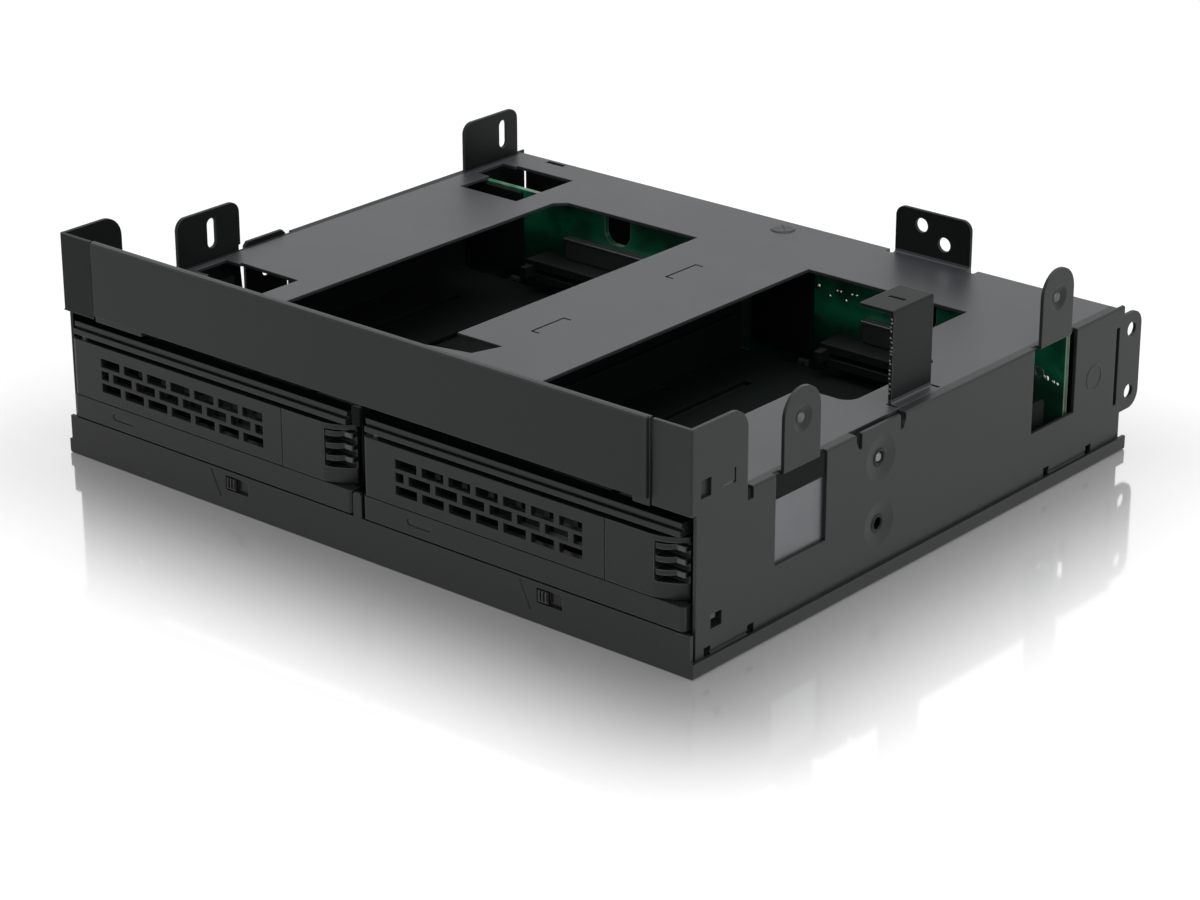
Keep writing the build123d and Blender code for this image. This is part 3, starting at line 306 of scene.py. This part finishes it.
def bevelled_block(name, low, high, mat, body, radius):
    """Moulded or sawn block between two corners, in mm, with rounded edges."""
    body_mesh = bmesh.new()
    bmesh.ops.create_cube(body_mesh, size=1.0)
    for vert in body_mesh.verts:
        vert.co = Vector([mm * (a + (b - a) * (c + 0.5)) for a, b, c in zip(low, high, vert.co)])
    bmesh.ops.bevel(
        body_mesh, geom=body_mesh.edges[:], offset=radius * mm, segments=3, profile=0.5, affect="EDGES",
    )
    made(name, body_mesh, mat, body)


clip_steel = satin_skin(
    "clip steel", coat=(0.085, 0.088, 0.090, 1), edge=(0.36, 0.37, 0.37, 1), rough=0.33, grain=1600.0,
    metal=0.6, wear_and_highlight=0.9,
)
for side, name in ((-1, "left"), (1, "right")):
    inner, outer = sorted((side * web_back, side * behind_wall))
    bevelled_block(
        f"{name}_ear_web", at(inner, web_fore, web_low), at(outer, web_aft, web_high), chassis_coat,
        "cage", radius=0.12,
    )
    inner, outer = sorted((side * clip_back, side * behind_wall))
    bevelled_block(
        f"{name}_foot_clip", at(inner, clip_fore, clip_low), at(outer, clip_aft, clip_high), clip_steel,
        "cage", radius=0.25,
    )

# ---------------------------------------------------------------------------------------------
# Screw that holds the roof to the centre bracket at the rear: a wide, low steel head with a cross
# recess, blackened.
# ---------------------------------------------------------------------------------------------
upward = (0, 0, 1)
screw_seat = at(-0.9, 178.9, 42.6)
screw_radius = 3.7
screw_height = 0.34
cross_arm = 2.6
cross_half_width = 0.42
screw_black = satin_skin(
    "blackened screw", coat=(0.030, 0.031, 0.032, 1), edge=(0.16, 0.16, 0.165, 1), rough=0.34,
    grain=1400.0, metal=0.6, wear_and_highlight=0.7,
)


def cross_head(name, centre, axis, radius, height, arm, half_width, body):
    """Low screw head with a cross recess, seated at the centre."""
    body_mesh = bmesh.new()
    out = Vector(axis)
    first = out.orthogonal().normalized()
    second = out.cross(first)
    sides = 36
    turns = [2 * math.pi * step / sides for step in range(sides)]

    def point(along, across_by, lift):
        return body_mesh.verts.new((Vector(centre) + first * along + second * across_by + out * lift) * mm)

    rings = []
    for share, lift in ((1.0, 0.0), (1.0, 0.45 * height), (0.9, 0.9 * height), (0.8, height)):
        rings.append([point(share * radius * math.cos(t), share * radius * math.sin(t), lift) for t in turns])
    for low, high in zip(rings, rings[1:]):
        band(body_mesh, low, high)
    body_mesh.faces.new(rings[0])
    w, a = half_width, arm
    corners = [
        (a, -w), (a, w), (w, w), (w, a), (-w, a), (-w, w),
        (-a, w), (-a, -w), (-w, -w), (-w, -a), (w, -a), (w, -w),
    ]
    mouth = [point(u, v, height) for u, v in corners]
    recess = [point(0.8 * u, 0.8 * v, 0.25 * height) for u, v in corners]
    count = len(corners)
    rim = [body_mesh.edges.new((mouth[k], mouth[(k + 1) % count])) for k in range(count)]
    top = [body_mesh.edges.get((rings[-1][k], rings[-1][(k + 1) % sides])) for k in range(sides)]
    bmesh.ops.triangle_fill(body_mesh, edges=rim + top, use_beauty=True)
    band(body_mesh, mouth, recess)
    # the recess's floor: its middle square, then its four arms
    for patch in ((2, 5, 8, 11), (11, 0, 1, 2), (2, 3, 4, 5), (5, 6, 7, 8), (8, 9, 10, 11)):
        body_mesh.faces.new([recess[k] for k in patch])
    made(name, body_mesh, screw_black, body)


cross_head(
    "roof_screw", screw_seat, upward, screw_radius, screw_height, cross_arm, cross_half_width, "cage",
)

# ---------------------------------------------------------------------------------------------
# Burr along the torn front edge of the hook: bright crumbs of bared steel where the shears left
# the coat cracked. They sit on the edge itself.
# ---------------------------------------------------------------------------------------------
frontward = (0, -1, 0)
hook_edge_x = 103.1
hook_edge_depth = 87.6
burr_foot = 45.2
burr_pitch = 1.25
burr_count = 17
crumb_outline = ((-0.2, 0.34), (0.05, 0.32), (0.14, 0.2), (0.18, 0.08))
crumbs = random.Random(7)
spun(
    "hook_burr",
    [at(hook_edge_x + crumbs.uniform(0.0, 0.5), hook_edge_depth,
        burr_foot + burr_pitch * step + crumbs.uniform(0, 0.8)) for step in range(burr_count)],
    frontward, crumb_outline, bare_steel_and_highlight, "cage", sides=7,
)

# ---------------------------------------------------------------------------------------------
# Base pan with its front lip, pressed from the same sheet as the chassis but coated by itself, so
# it is a shade darker, and the divider and centre bracket that are riveted to it.
# ---------------------------------------------------------------------------------------------
base_coat = satin_skin(
    "base powder coat", coat=(0.0115, 0.0132, 0.0125, 1), edge=(0.090, 0.097, 0.094, 1), rough=0.40, wear_and_highlight=0.6,
)
dress(["base_pan", "rear_panel"], base_coat)
# The inner coat is near-black and tinted green: partly the black coat inside the cage, partly painted shade
# for the dark interior, and the green tint a painted reflection of the board.
inner_painted_shade_coat = satin_skin(
    "inner powder coat painted shade", coat=(0.0040, 0.0062, 0.0051, 1), edge=(0.018, 0.019, 0.019, 1), rough=0.6, ior=1.16,
)
dress(["centre_divider", "centre_bracket"], inner_painted_shade_coat)

# ---------------------------------------------------------------------------------------------
# Cover plate on the header: a moulded strip with a plain face and a fine satin grain, clipped
# over the sheet.
# ---------------------------------------------------------------------------------------------
# the cover's edges are painted pale, partly wear and partly painted highlight
cover_skin = satin_skin(
    "cover plate skin", coat=(0.0080, 0.0114, 0.0095, 1), edge=(0.150, 0.160, 0.155, 1), rough=0.40,
    grain=3400.0, relief=0.03, wear_and_highlight=0.8,
)
dress(["front_cover_plate"], cover_skin)

# ---------------------------------------------------------------------------------------------
# Plated guides: the ledges on which the trays run and the tall plates at the front end of the
# side walls. They are bare zinc-plated sheet with a long brushed grain. The stub of a rivet fills
# the upper dished hole of the right wall.
# ---------------------------------------------------------------------------------------------
rivet_outline = ((-1.1, 1.25), (-0.3, 1.25), (-0.05, 0.9), (0.05, 0.4))


def plated_sheet(name, tint, rough=0.38):
    """Plated metal, brushed along the depth of the cage."""
    mat, tree, shader = new_finish(name)
    shader.inputs["Metallic"].default_value = 1.0
    where = tree.nodes.new("ShaderNodeTexCoord").outputs["Object"]
    drawn = tree.nodes.new("ShaderNodeMapping")
    drawn.inputs["Scale"].default_value = (2200.0, 40.0, 2200.0)
    tree.links.new(where, drawn.inputs["Vector"])
    streak = mottle(tree, drawn.outputs["Vector"], 1.0, detail=4.0)
    stain = mottle(tree, where, 90.0)
    stained = mixed(tree, stain, [0.78 * c for c in tint] + [1], [*tint, 1])
    tree.links.new(stained, shader.inputs["Base Color"])
    gloss = ranged(tree, streak, first=rough - 0.08, last=rough + 0.12)
    tree.links.new(gloss, shader.inputs["Roughness"])
    raise_grain(tree, shader, streak, 0.12, 0.05 * mm)
    return mat


zinc = plated_sheet("plated guide sheet", tint=(0.165, 0.170, 0.178))
dress(["left_outer_guide", "right_outer_guide"], zinc)
dull_zinc = plated_sheet("dull bracket sheet", tint=(0.22, 0.226, 0.232), rough=0.45)
dress(["centre_ledges", "board_brackets"], dull_zinc)
spun(
    "wall_rivets", [at(dish_seat, dish_depth, dish_heights[1])], rightward, rivet_outline, dull_zinc,
    "cage",
)

# ---------------------------------------------------------------------------------------------
# Backplane board: glass-epoxy laminate under a green solder mask, with a pale routed edge. Copper
# tracks and the ground fill show through the mask as lighter and darker green, and drops of tin
# solder stand on it. Towards the bottom the green is painted darker: painted shade.
# ---------------------------------------------------------------------------------------------
mask_green = (0.0030, 0.1080, 0.0500, 1)
track_green = (0.0090, 0.1950, 0.0950, 1)
dark_green = (0.0014, 0.0560, 0.0270, 1)
painted_shade_green = (0.0010, 0.0125, 0.0065, 1)
shade_top = 31.5
shade_full = 24.0
laminate_edge = (0.34, 0.42, 0.26, 1)
board_face = 161.0
dome_outline = ((-0.1, 1.0), (0.10, 1.0), (0.32, 0.75), (0.45, 0.35))
domes = ((25.55, 36.1), (102.8, 27.6))
bead_outline = ((-0.1, 0.52), (0.08, 0.52), (0.22, 0.36), (0.30, 0.15))
beads = (
    (32.24, 36.16), (33.6, 36.16), (29.84, 34.11), (35.46, 33.93), (37.48, 36.19), (39.21, 36.3),
    (105.2, 27.1), (106.4, 26.8),
)
pad_outline = ((-0.1, 1.0), (0.08, 1.05), (0.08, 1.75), (-0.1, 1.8))
pads = ((100.4, 28.8), (-100.4, 28.8))


def solder_mask(name):
    """Mask over copper: square lanes, pools of ground fill and, low down, painted shade that darkens it."""
    mat, tree, shader = new_finish(name)
    shader.inputs["IOR"].default_value = 1.5
    where = tree.nodes.new("ShaderNodeTexCoord").outputs["Object"]
    lanes = tree.nodes.new("ShaderNodeTexVoronoi")
    lanes.distance = "MANHATTAN"
    lanes.inputs["Scale"].default_value = 170.0
    tree.links.new(where, lanes.inputs["Vector"])
    flow = mottle(tree, where, 60.0)
    ramp = tree.nodes.new("ShaderNodeValToRGB")
    for stop, position, colour in zip(ramp.color_ramp.elements, (0.30, 0.46), (mask_green, track_green)):
        stop.position = position
        stop.color = colour
    tree.links.new(lanes.outputs["Distance"], ramp.inputs["Fac"])
    filled = mixed(tree, ranged(tree, flow, 0.40, 0.62), ramp.outputs["Color"], dark_green)
    # painted shade: the green darkens towards the bottom of the board
    plane = ranged(tree, height_of(tree, where), shade_top * mm, shade_full * mm, last=0.82, smooth=True)
    under = mixed(tree, plane, filled, painted_shade_green)
    turn, _ = edge_finder(tree, 0.5 * mm, samples=4)
    bared = mixed(tree, ranged(tree, turn, 0.98, 0.80), under, laminate_edge)
    tree.links.new(bared, shader.inputs["Base Color"])
    tree.links.new(ranged(tree, flow, first=0.22, last=0.40), shader.inputs["Roughness"])
    raise_grain(tree, shader, lanes.outputs["Distance"], 0.2, 0.04 * mm)
    return mat


board_mask = solder_mask("green solder mask")
dress(["backplane_board"], board_mask)
tin = plated_sheet("tinned solder", tint=(0.74, 0.75, 0.76), rough=0.22)
spun(
    "board_solder_domes", [at(x, board_face, z) for x, z in domes], frontward, dome_outline, tin,
    "cage",
)
spun(
    "board_solder_beads", [at(x, board_face, z) for x, z in beads], frontward, bead_outline, tin,
    "cage", sides=16,
)
spun(
    "board_pads", [at(x, board_face, z) for x, z in pads], frontward, pad_outline, tin, "cage",
    hollow=True,
)

# ---------------------------------------------------------------------------------------------
# Dark plate in each bay, in the divider's darkened coat, that stands against the board and
# covers the third of it on the bay's left: a sheet put there as painted shade for the shadow
# on that part of the board.
# ---------------------------------------------------------------------------------------------
bays = {"left": -55.0, "right": 55.0}
shade_plate_left, shade_plate_right = -52.0, -30.5
shade_plate_low, shade_plate_high = 15.2, 40.6
shade_plate_thick = 1.5
board_gap = 0.02
for bay, middle in bays.items():
    bevelled_block(
        f"{bay}_painted_shade_plate", at(middle + shade_plate_left, board_face - shade_plate_thick, shade_plate_low),
        at(middle + shade_plate_right, board_face - board_gap, shade_plate_high), inner_painted_shade_coat, "cage",
        radius=0.3,
    )

# ---------------------------------------------------------------------------------------------
# Moulded connectors on both sides of the board: drive connectors and data sockets in black
# glass-filled nylon, power sockets in natural nylon, and the status lamps. A shroud over each
# drive connector carries along its top a strip of pale plated sheet: painted highlight for the
# light that the connector's top edge catches.
# ---------------------------------------------------------------------------------------------
shroud_left, shroud_right = -12.0, 21.0
shroud_low, shroud_high = 24.0, 30.2
shroud_reach = 2.5
highlight_strip_past = 0.4
highlight_strip_proud = 0.3
highlight_strip_seat, highlight_strip_rise = 0.1, 0.4
black_nylon = satin_skin(
    "black connector nylon", coat=(0.0062, 0.0078, 0.0070, 1), edge=(0.036, 0.040, 0.038, 1), rough=0.45,
    grain=1800.0,
)
dress(
    ["left_drive_connector", "right_drive_connector", "left_data_socket", "right_data_socket"],
    black_nylon,
)
shroud_skin = satin_skin(
    "shroud moulding", coat=(0.020, 0.027, 0.023, 1), edge=(0.10, 0.11, 0.105, 1), rough=0.42,
    grain=1500.0, wear_and_highlight=0.6,
)
for bay, middle in bays.items():
    bevelled_block(
        f"{bay}_connector_shroud", at(middle + shroud_left, board_face - shroud_reach, shroud_low),
        at(middle + shroud_right, board_face, shroud_high), shroud_skin, "cage", radius=0.4,
    )
    # pale strip along the shroud's top: painted highlight
    bevelled_block(
        f"{bay}_shroud_highlight_strip",
        at(middle + shroud_left - highlight_strip_past, board_face - shroud_reach - highlight_strip_proud,
           shroud_high - highlight_strip_seat),
        at(middle + shroud_right + highlight_strip_past, board_face, shroud_high + highlight_strip_rise),
        dull_zinc, "cage", radius=0.15,
    )
pale_nylon = satin_skin(
    "natural nylon", coat=(0.62, 0.60, 0.52, 1), edge=(0.74, 0.72, 0.66, 1), rough=0.40, grain=900.0,
    wear_and_highlight=0.2,
)
dress(["left_power_socket", "right_power_socket"], pale_nylon)
lamp_case = satin_skin(
    "lamp lens", coat=(0.085, 0.088, 0.080, 1), edge=(0.3, 0.3, 0.28, 1), rough=0.25, relief=0.01,
)
dress(["status_lamps"], lamp_case)

# ---------------------------------------------------------------------------------------------
# Trays: moulded bezel in front, folded steel pan behind, lever with its grille, latch with the
# ribbed grip and the lock slider. The mouldings are satin ABS, and the pan has the divider's
# darkened coat. Above a set height the bezel's top lip, which the cover plate shades, is painted
# near-black and without gloss: painted shade. The latch's edges are painted paler than the
# lever's, as painted highlight.
# ---------------------------------------------------------------------------------------------
bezel_shade_line = 39.5
bezel_skin = satin_skin(
    "bezel moulding", coat=(0.0108, 0.0128, 0.0120, 1), edge=(0.080, 0.086, 0.083, 1), rough=0.38,
    grain=3800.0, relief=0.03, shade_above=bezel_shade_line,
)
lever_skin = satin_skin(
    "lever moulding", coat=(0.0112, 0.0132, 0.0122, 1), edge=(0.080, 0.086, 0.083, 1), rough=0.38,
    grain=3800.0, relief=0.03,
)
# the latch's edges are painted paler than the lever's: painted highlight
latch_highlit_skin = satin_skin(
    "latch moulding", coat=(0.0112, 0.0132, 0.0122, 1), edge=(0.190, 0.202, 0.196, 1), rough=0.34,
    grain=3800.0, relief=0.03, wear_and_highlight=0.7,
)
knob_skin = satin_skin(
    "lock moulding", coat=(0.008, 0.008, 0.008, 1), edge=(0.03, 0.03, 0.03, 1), rough=0.3,
)
for bay in bays:
    dress([f"{bay}_tray_bezel"], bezel_skin)
    dress([f"{bay}_tray_pan"], inner_painted_shade_coat)
    dress([f"{bay}_lever"], lever_skin)
    dress([f"{bay}_latch"], latch_highlit_skin)
    dress([f"{bay}_lock_slider"], knob_skin)

# ---------------------------------------------------------------------------------------------
# Pale caps on the tips of the three fins in each grip: painted highlight for the glint that
# the fin tips catch. They move with the latch.
# ---------------------------------------------------------------------------------------------
tip_left, tip_right = 48.5, 51.1
tip_fore, tip_aft = 2.55, 3.3
fin_heights = (25.1, 28.5, 31.9)
half_tip = 0.74
tip_highlight_skin = satin_skin(
    "fin tip painted highlight", coat=(0.040, 0.044, 0.043, 1), edge=(0.30, 0.32, 0.31, 1), rough=0.26,
    grain=3200.0, relief=0.03, wear_and_highlight=0.9, ior=1.5,
)
for bay, middle in bays.items():
    for count, height in enumerate(fin_heights):
        bevelled_block(
            f"{bay}_fin_tip_highlight_{count}", at(middle + tip_left, tip_fore, height - half_tip),
            at(middle + tip_right, tip_aft, height + half_tip), tip_highlight_skin, f"{bay}_latch",
            radius=0.28,
        )

# ---------------------------------------------------------------------------------------------
# Ribs on the knob of each lock slider, for the fingernail. They are moulded with the knob and move
# with it.
# ---------------------------------------------------------------------------------------------
knob_left = 6.6
rib_starts = (0.35, 1.45, 2.55)
rib_width = 0.5
rib_proud, rib_root = 0.4, 0.1
rib_low, rib_high = 6.35, 9.15
# the ribs' edges are painted pale: painted highlight for the glint they catch
rib_skin = satin_skin(
    "lock rib", coat=(0.012, 0.013, 0.0125, 1), edge=(0.24, 0.25, 0.245, 1), rough=0.28, grain=3000.0,
    wear_and_highlight=0.9,
)
for bay, middle in bays.items():
    knob_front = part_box(f"{bay}_lock_slider")[0][1] / mm
    for count, start in enumerate(rib_starts):
        rib_left = middle + knob_left + start
        bevelled_block(
            f"{bay}_lock_rib_{count}", (rib_left, knob_front - rib_proud, rib_low),
            (rib_left + rib_width, knob_front + rib_root, rib_high), rib_skin, f"{bay}_lock",
            radius=0.15,
        )

# ---------------------------------------------------------------------------------------------
# Light guides of smoky acrylic, from the lamp on the board to the lens in the bezel, and the
# bright pins and springs of lever and latch.
# ---------------------------------------------------------------------------------------------
guide_acrylic = satin_skin(
    "smoky acrylic", coat=(0.014, 0.0165, 0.0155, 1), edge=(0.16, 0.17, 0.165, 1), rough=0.20,
    grain=300.0, relief=0.01,
)
bright_steel = plated_sheet("bright drawn steel", tint=(0.55, 0.55, 0.56), rough=0.25)
for bay in bays:
    dress([f"{bay}_light_guide"], guide_acrylic)
    dress([f"{bay}_lever_pin"], bright_steel)
    dress([f"{bay}_lever_spring", f"{bay}_latch_spring"], bright_steel)

# ---------------------------------------------------------------------------------------------
# Studio: a sweep of white light all round, and a white floor that carries the soft shadow and a
# mirror image, which fades with the distance from the cage's foot.
# ---------------------------------------------------------------------------------------------
white = (1, 1, 1, 1)
light_on_things = 0.34
floor_grey = (0.78, 0.78, 0.78, 1)
floor_lift = 0.30
floor_drop = 0.1
floor_reach = 6.0
foot_half = (110, 95, 0)
mirror_share = 0.74
mirror_fade = 74
scene = bpy.context.scene
scene.view_settings.view_transform = "Standard"


def seen_by_eye(tree):
    """1 for what the camera sees, straight, mirrored or through glass, and 0 for light on things."""
    path = tree.nodes.new("ShaderNodeLightPath")
    mirrored = combined(tree, "MAXIMUM", path.outputs["Is Camera Ray"], path.outputs["Is Glossy Ray"])
    return combined(tree, "MAXIMUM", mirrored, path.outputs["Is Transmission Ray"])


def white_light(tree, strength):
    """White background of one strength."""
    light = tree.nodes.new("ShaderNodeBackground")
    light.inputs["Color"].default_value = white
    light.inputs["Strength"].default_value = strength
    return light.outputs["Background"]


def either(tree, share, first, second):
    """Goes from the first shader to the second as the share goes from 0 to 1."""
    choice = tree.nodes.new("ShaderNodeMixShader")
    tree.links.new(share, choice.inputs[0])
    tree.links.new(first, choice.inputs[1])
    tree.links.new(second, choice.inputs[2])
    return choice.outputs["Shader"]


sweep = bpy.data.worlds.new("white studio")
sweep.use_nodes = True
sky = sweep.node_tree
sky.nodes.clear()
lit = either(sky, seen_by_eye(sky), white_light(sky, light_on_things), white_light(sky, 1.0))
sky.links.new(lit, sky.nodes.new("ShaderNodeOutputWorld").inputs["Surface"])
scene.world = sweep

floor_white, paper, matt = new_finish("white sheet")
matt.inputs["Base Color"].default_value = floor_grey
matt.inputs["Roughness"].default_value = 0.6
matt.inputs["Emission Color"].default_value = white
lifted = combined(paper, "MULTIPLY", seen_by_eye(paper), floor_lift)
paper.links.new(lifted, matt.inputs["Emission Strength"])
spot = paper.nodes.new("ShaderNodeNewGeometry")
from_middle = compared(paper, "ABSOLUTE", spot.outputs["Position"])
past_foot = compared(paper, "SUBTRACT", from_middle, [side * mm for side in foot_half])
outside = compared(paper, "MAXIMUM", past_foot)
away = compared(paper, "LENGTH", outside, result="Value")
sheen = ranged(paper, away, high=mirror_fade * mm, first=mirror_share, last=0.0, smooth=True)
mirror = paper.nodes.new("ShaderNodeBsdfGlossy")
mirror.inputs["Roughness"].default_value = 0.07
paper.links.new(
    either(paper, sheen, matt.outputs["BSDF"], mirror.outputs["BSDF"]),
    paper.nodes["Material Output"].inputs["Surface"],
)
floor_mesh = bpy.data.meshes.new("floor")
floor_mesh.from_pydata(
    [(-floor_reach, -floor_reach, 0), (floor_reach, -floor_reach, 0), (floor_reach, floor_reach, 0),
     (-floor_reach, floor_reach, 0)], [], [(0, 1, 2, 3)],
)
floor_mesh.materials.append(floor_white)
floor = bpy.data.objects.new("floor", floor_mesh)
scene.collection.objects.link(floor)
floor.location.z = -floor_drop * mm

# ---------------------------------------------------------------------------------------------
# Lamps and camera: two broad soft boxes, one above and a weak one on the right, and a long lens
# at the photograph's angle.
# ---------------------------------------------------------------------------------------------
lit_point = (0, 0, 0.03)
lens_length = 103.46
film_width = 36.0
camera_place = (0.574287, -0.672164, 0.365747)
view_right = Vector((0.76119724, 0.64851825, -0.00168448))
view_up = Vector((-0.24672372, 0.29199171, 0.92404992))
view_back = Vector((0.59975509, -0.70296865, 0.38226812))


def lamp(name, place, size, power):
    """Square soft box that faces the object."""
    light = bpy.data.lights.new(name, "AREA")
    light.shape = "RECTANGLE"
    light.size, light.size_y = size
    light.energy = power
    holder = bpy.data.objects.new(name, light)
    holder.location = place
    holder.rotation_euler = (Vector(lit_point) - Vector(place)).to_track_quat("-Z", "Y").to_euler()
    scene.collection.objects.link(holder)


lamp("soft box above", place=(0.1, 0.1, 1.5), size=(1.4, 1.4), power=17.0)
lamp("soft box right", place=(1.4, -0.3, 0.7), size=(0.8, 0.8), power=3.6)

camera_data = bpy.data.cameras.new("camera")
camera_data.lens = lens_length
camera_data.sensor_width = film_width
camera_data.clip_start = 0.05
camera_data.clip_end = 50.0
camera = bpy.data.objects.new("camera", camera_data)
turned_to = Matrix((view_right, view_up, view_back)).transposed().to_4x4()
camera.matrix_world = Matrix.Translation(camera_place) @ turned_to
scene.collection.objects.link(camera)
scene.camera = camera
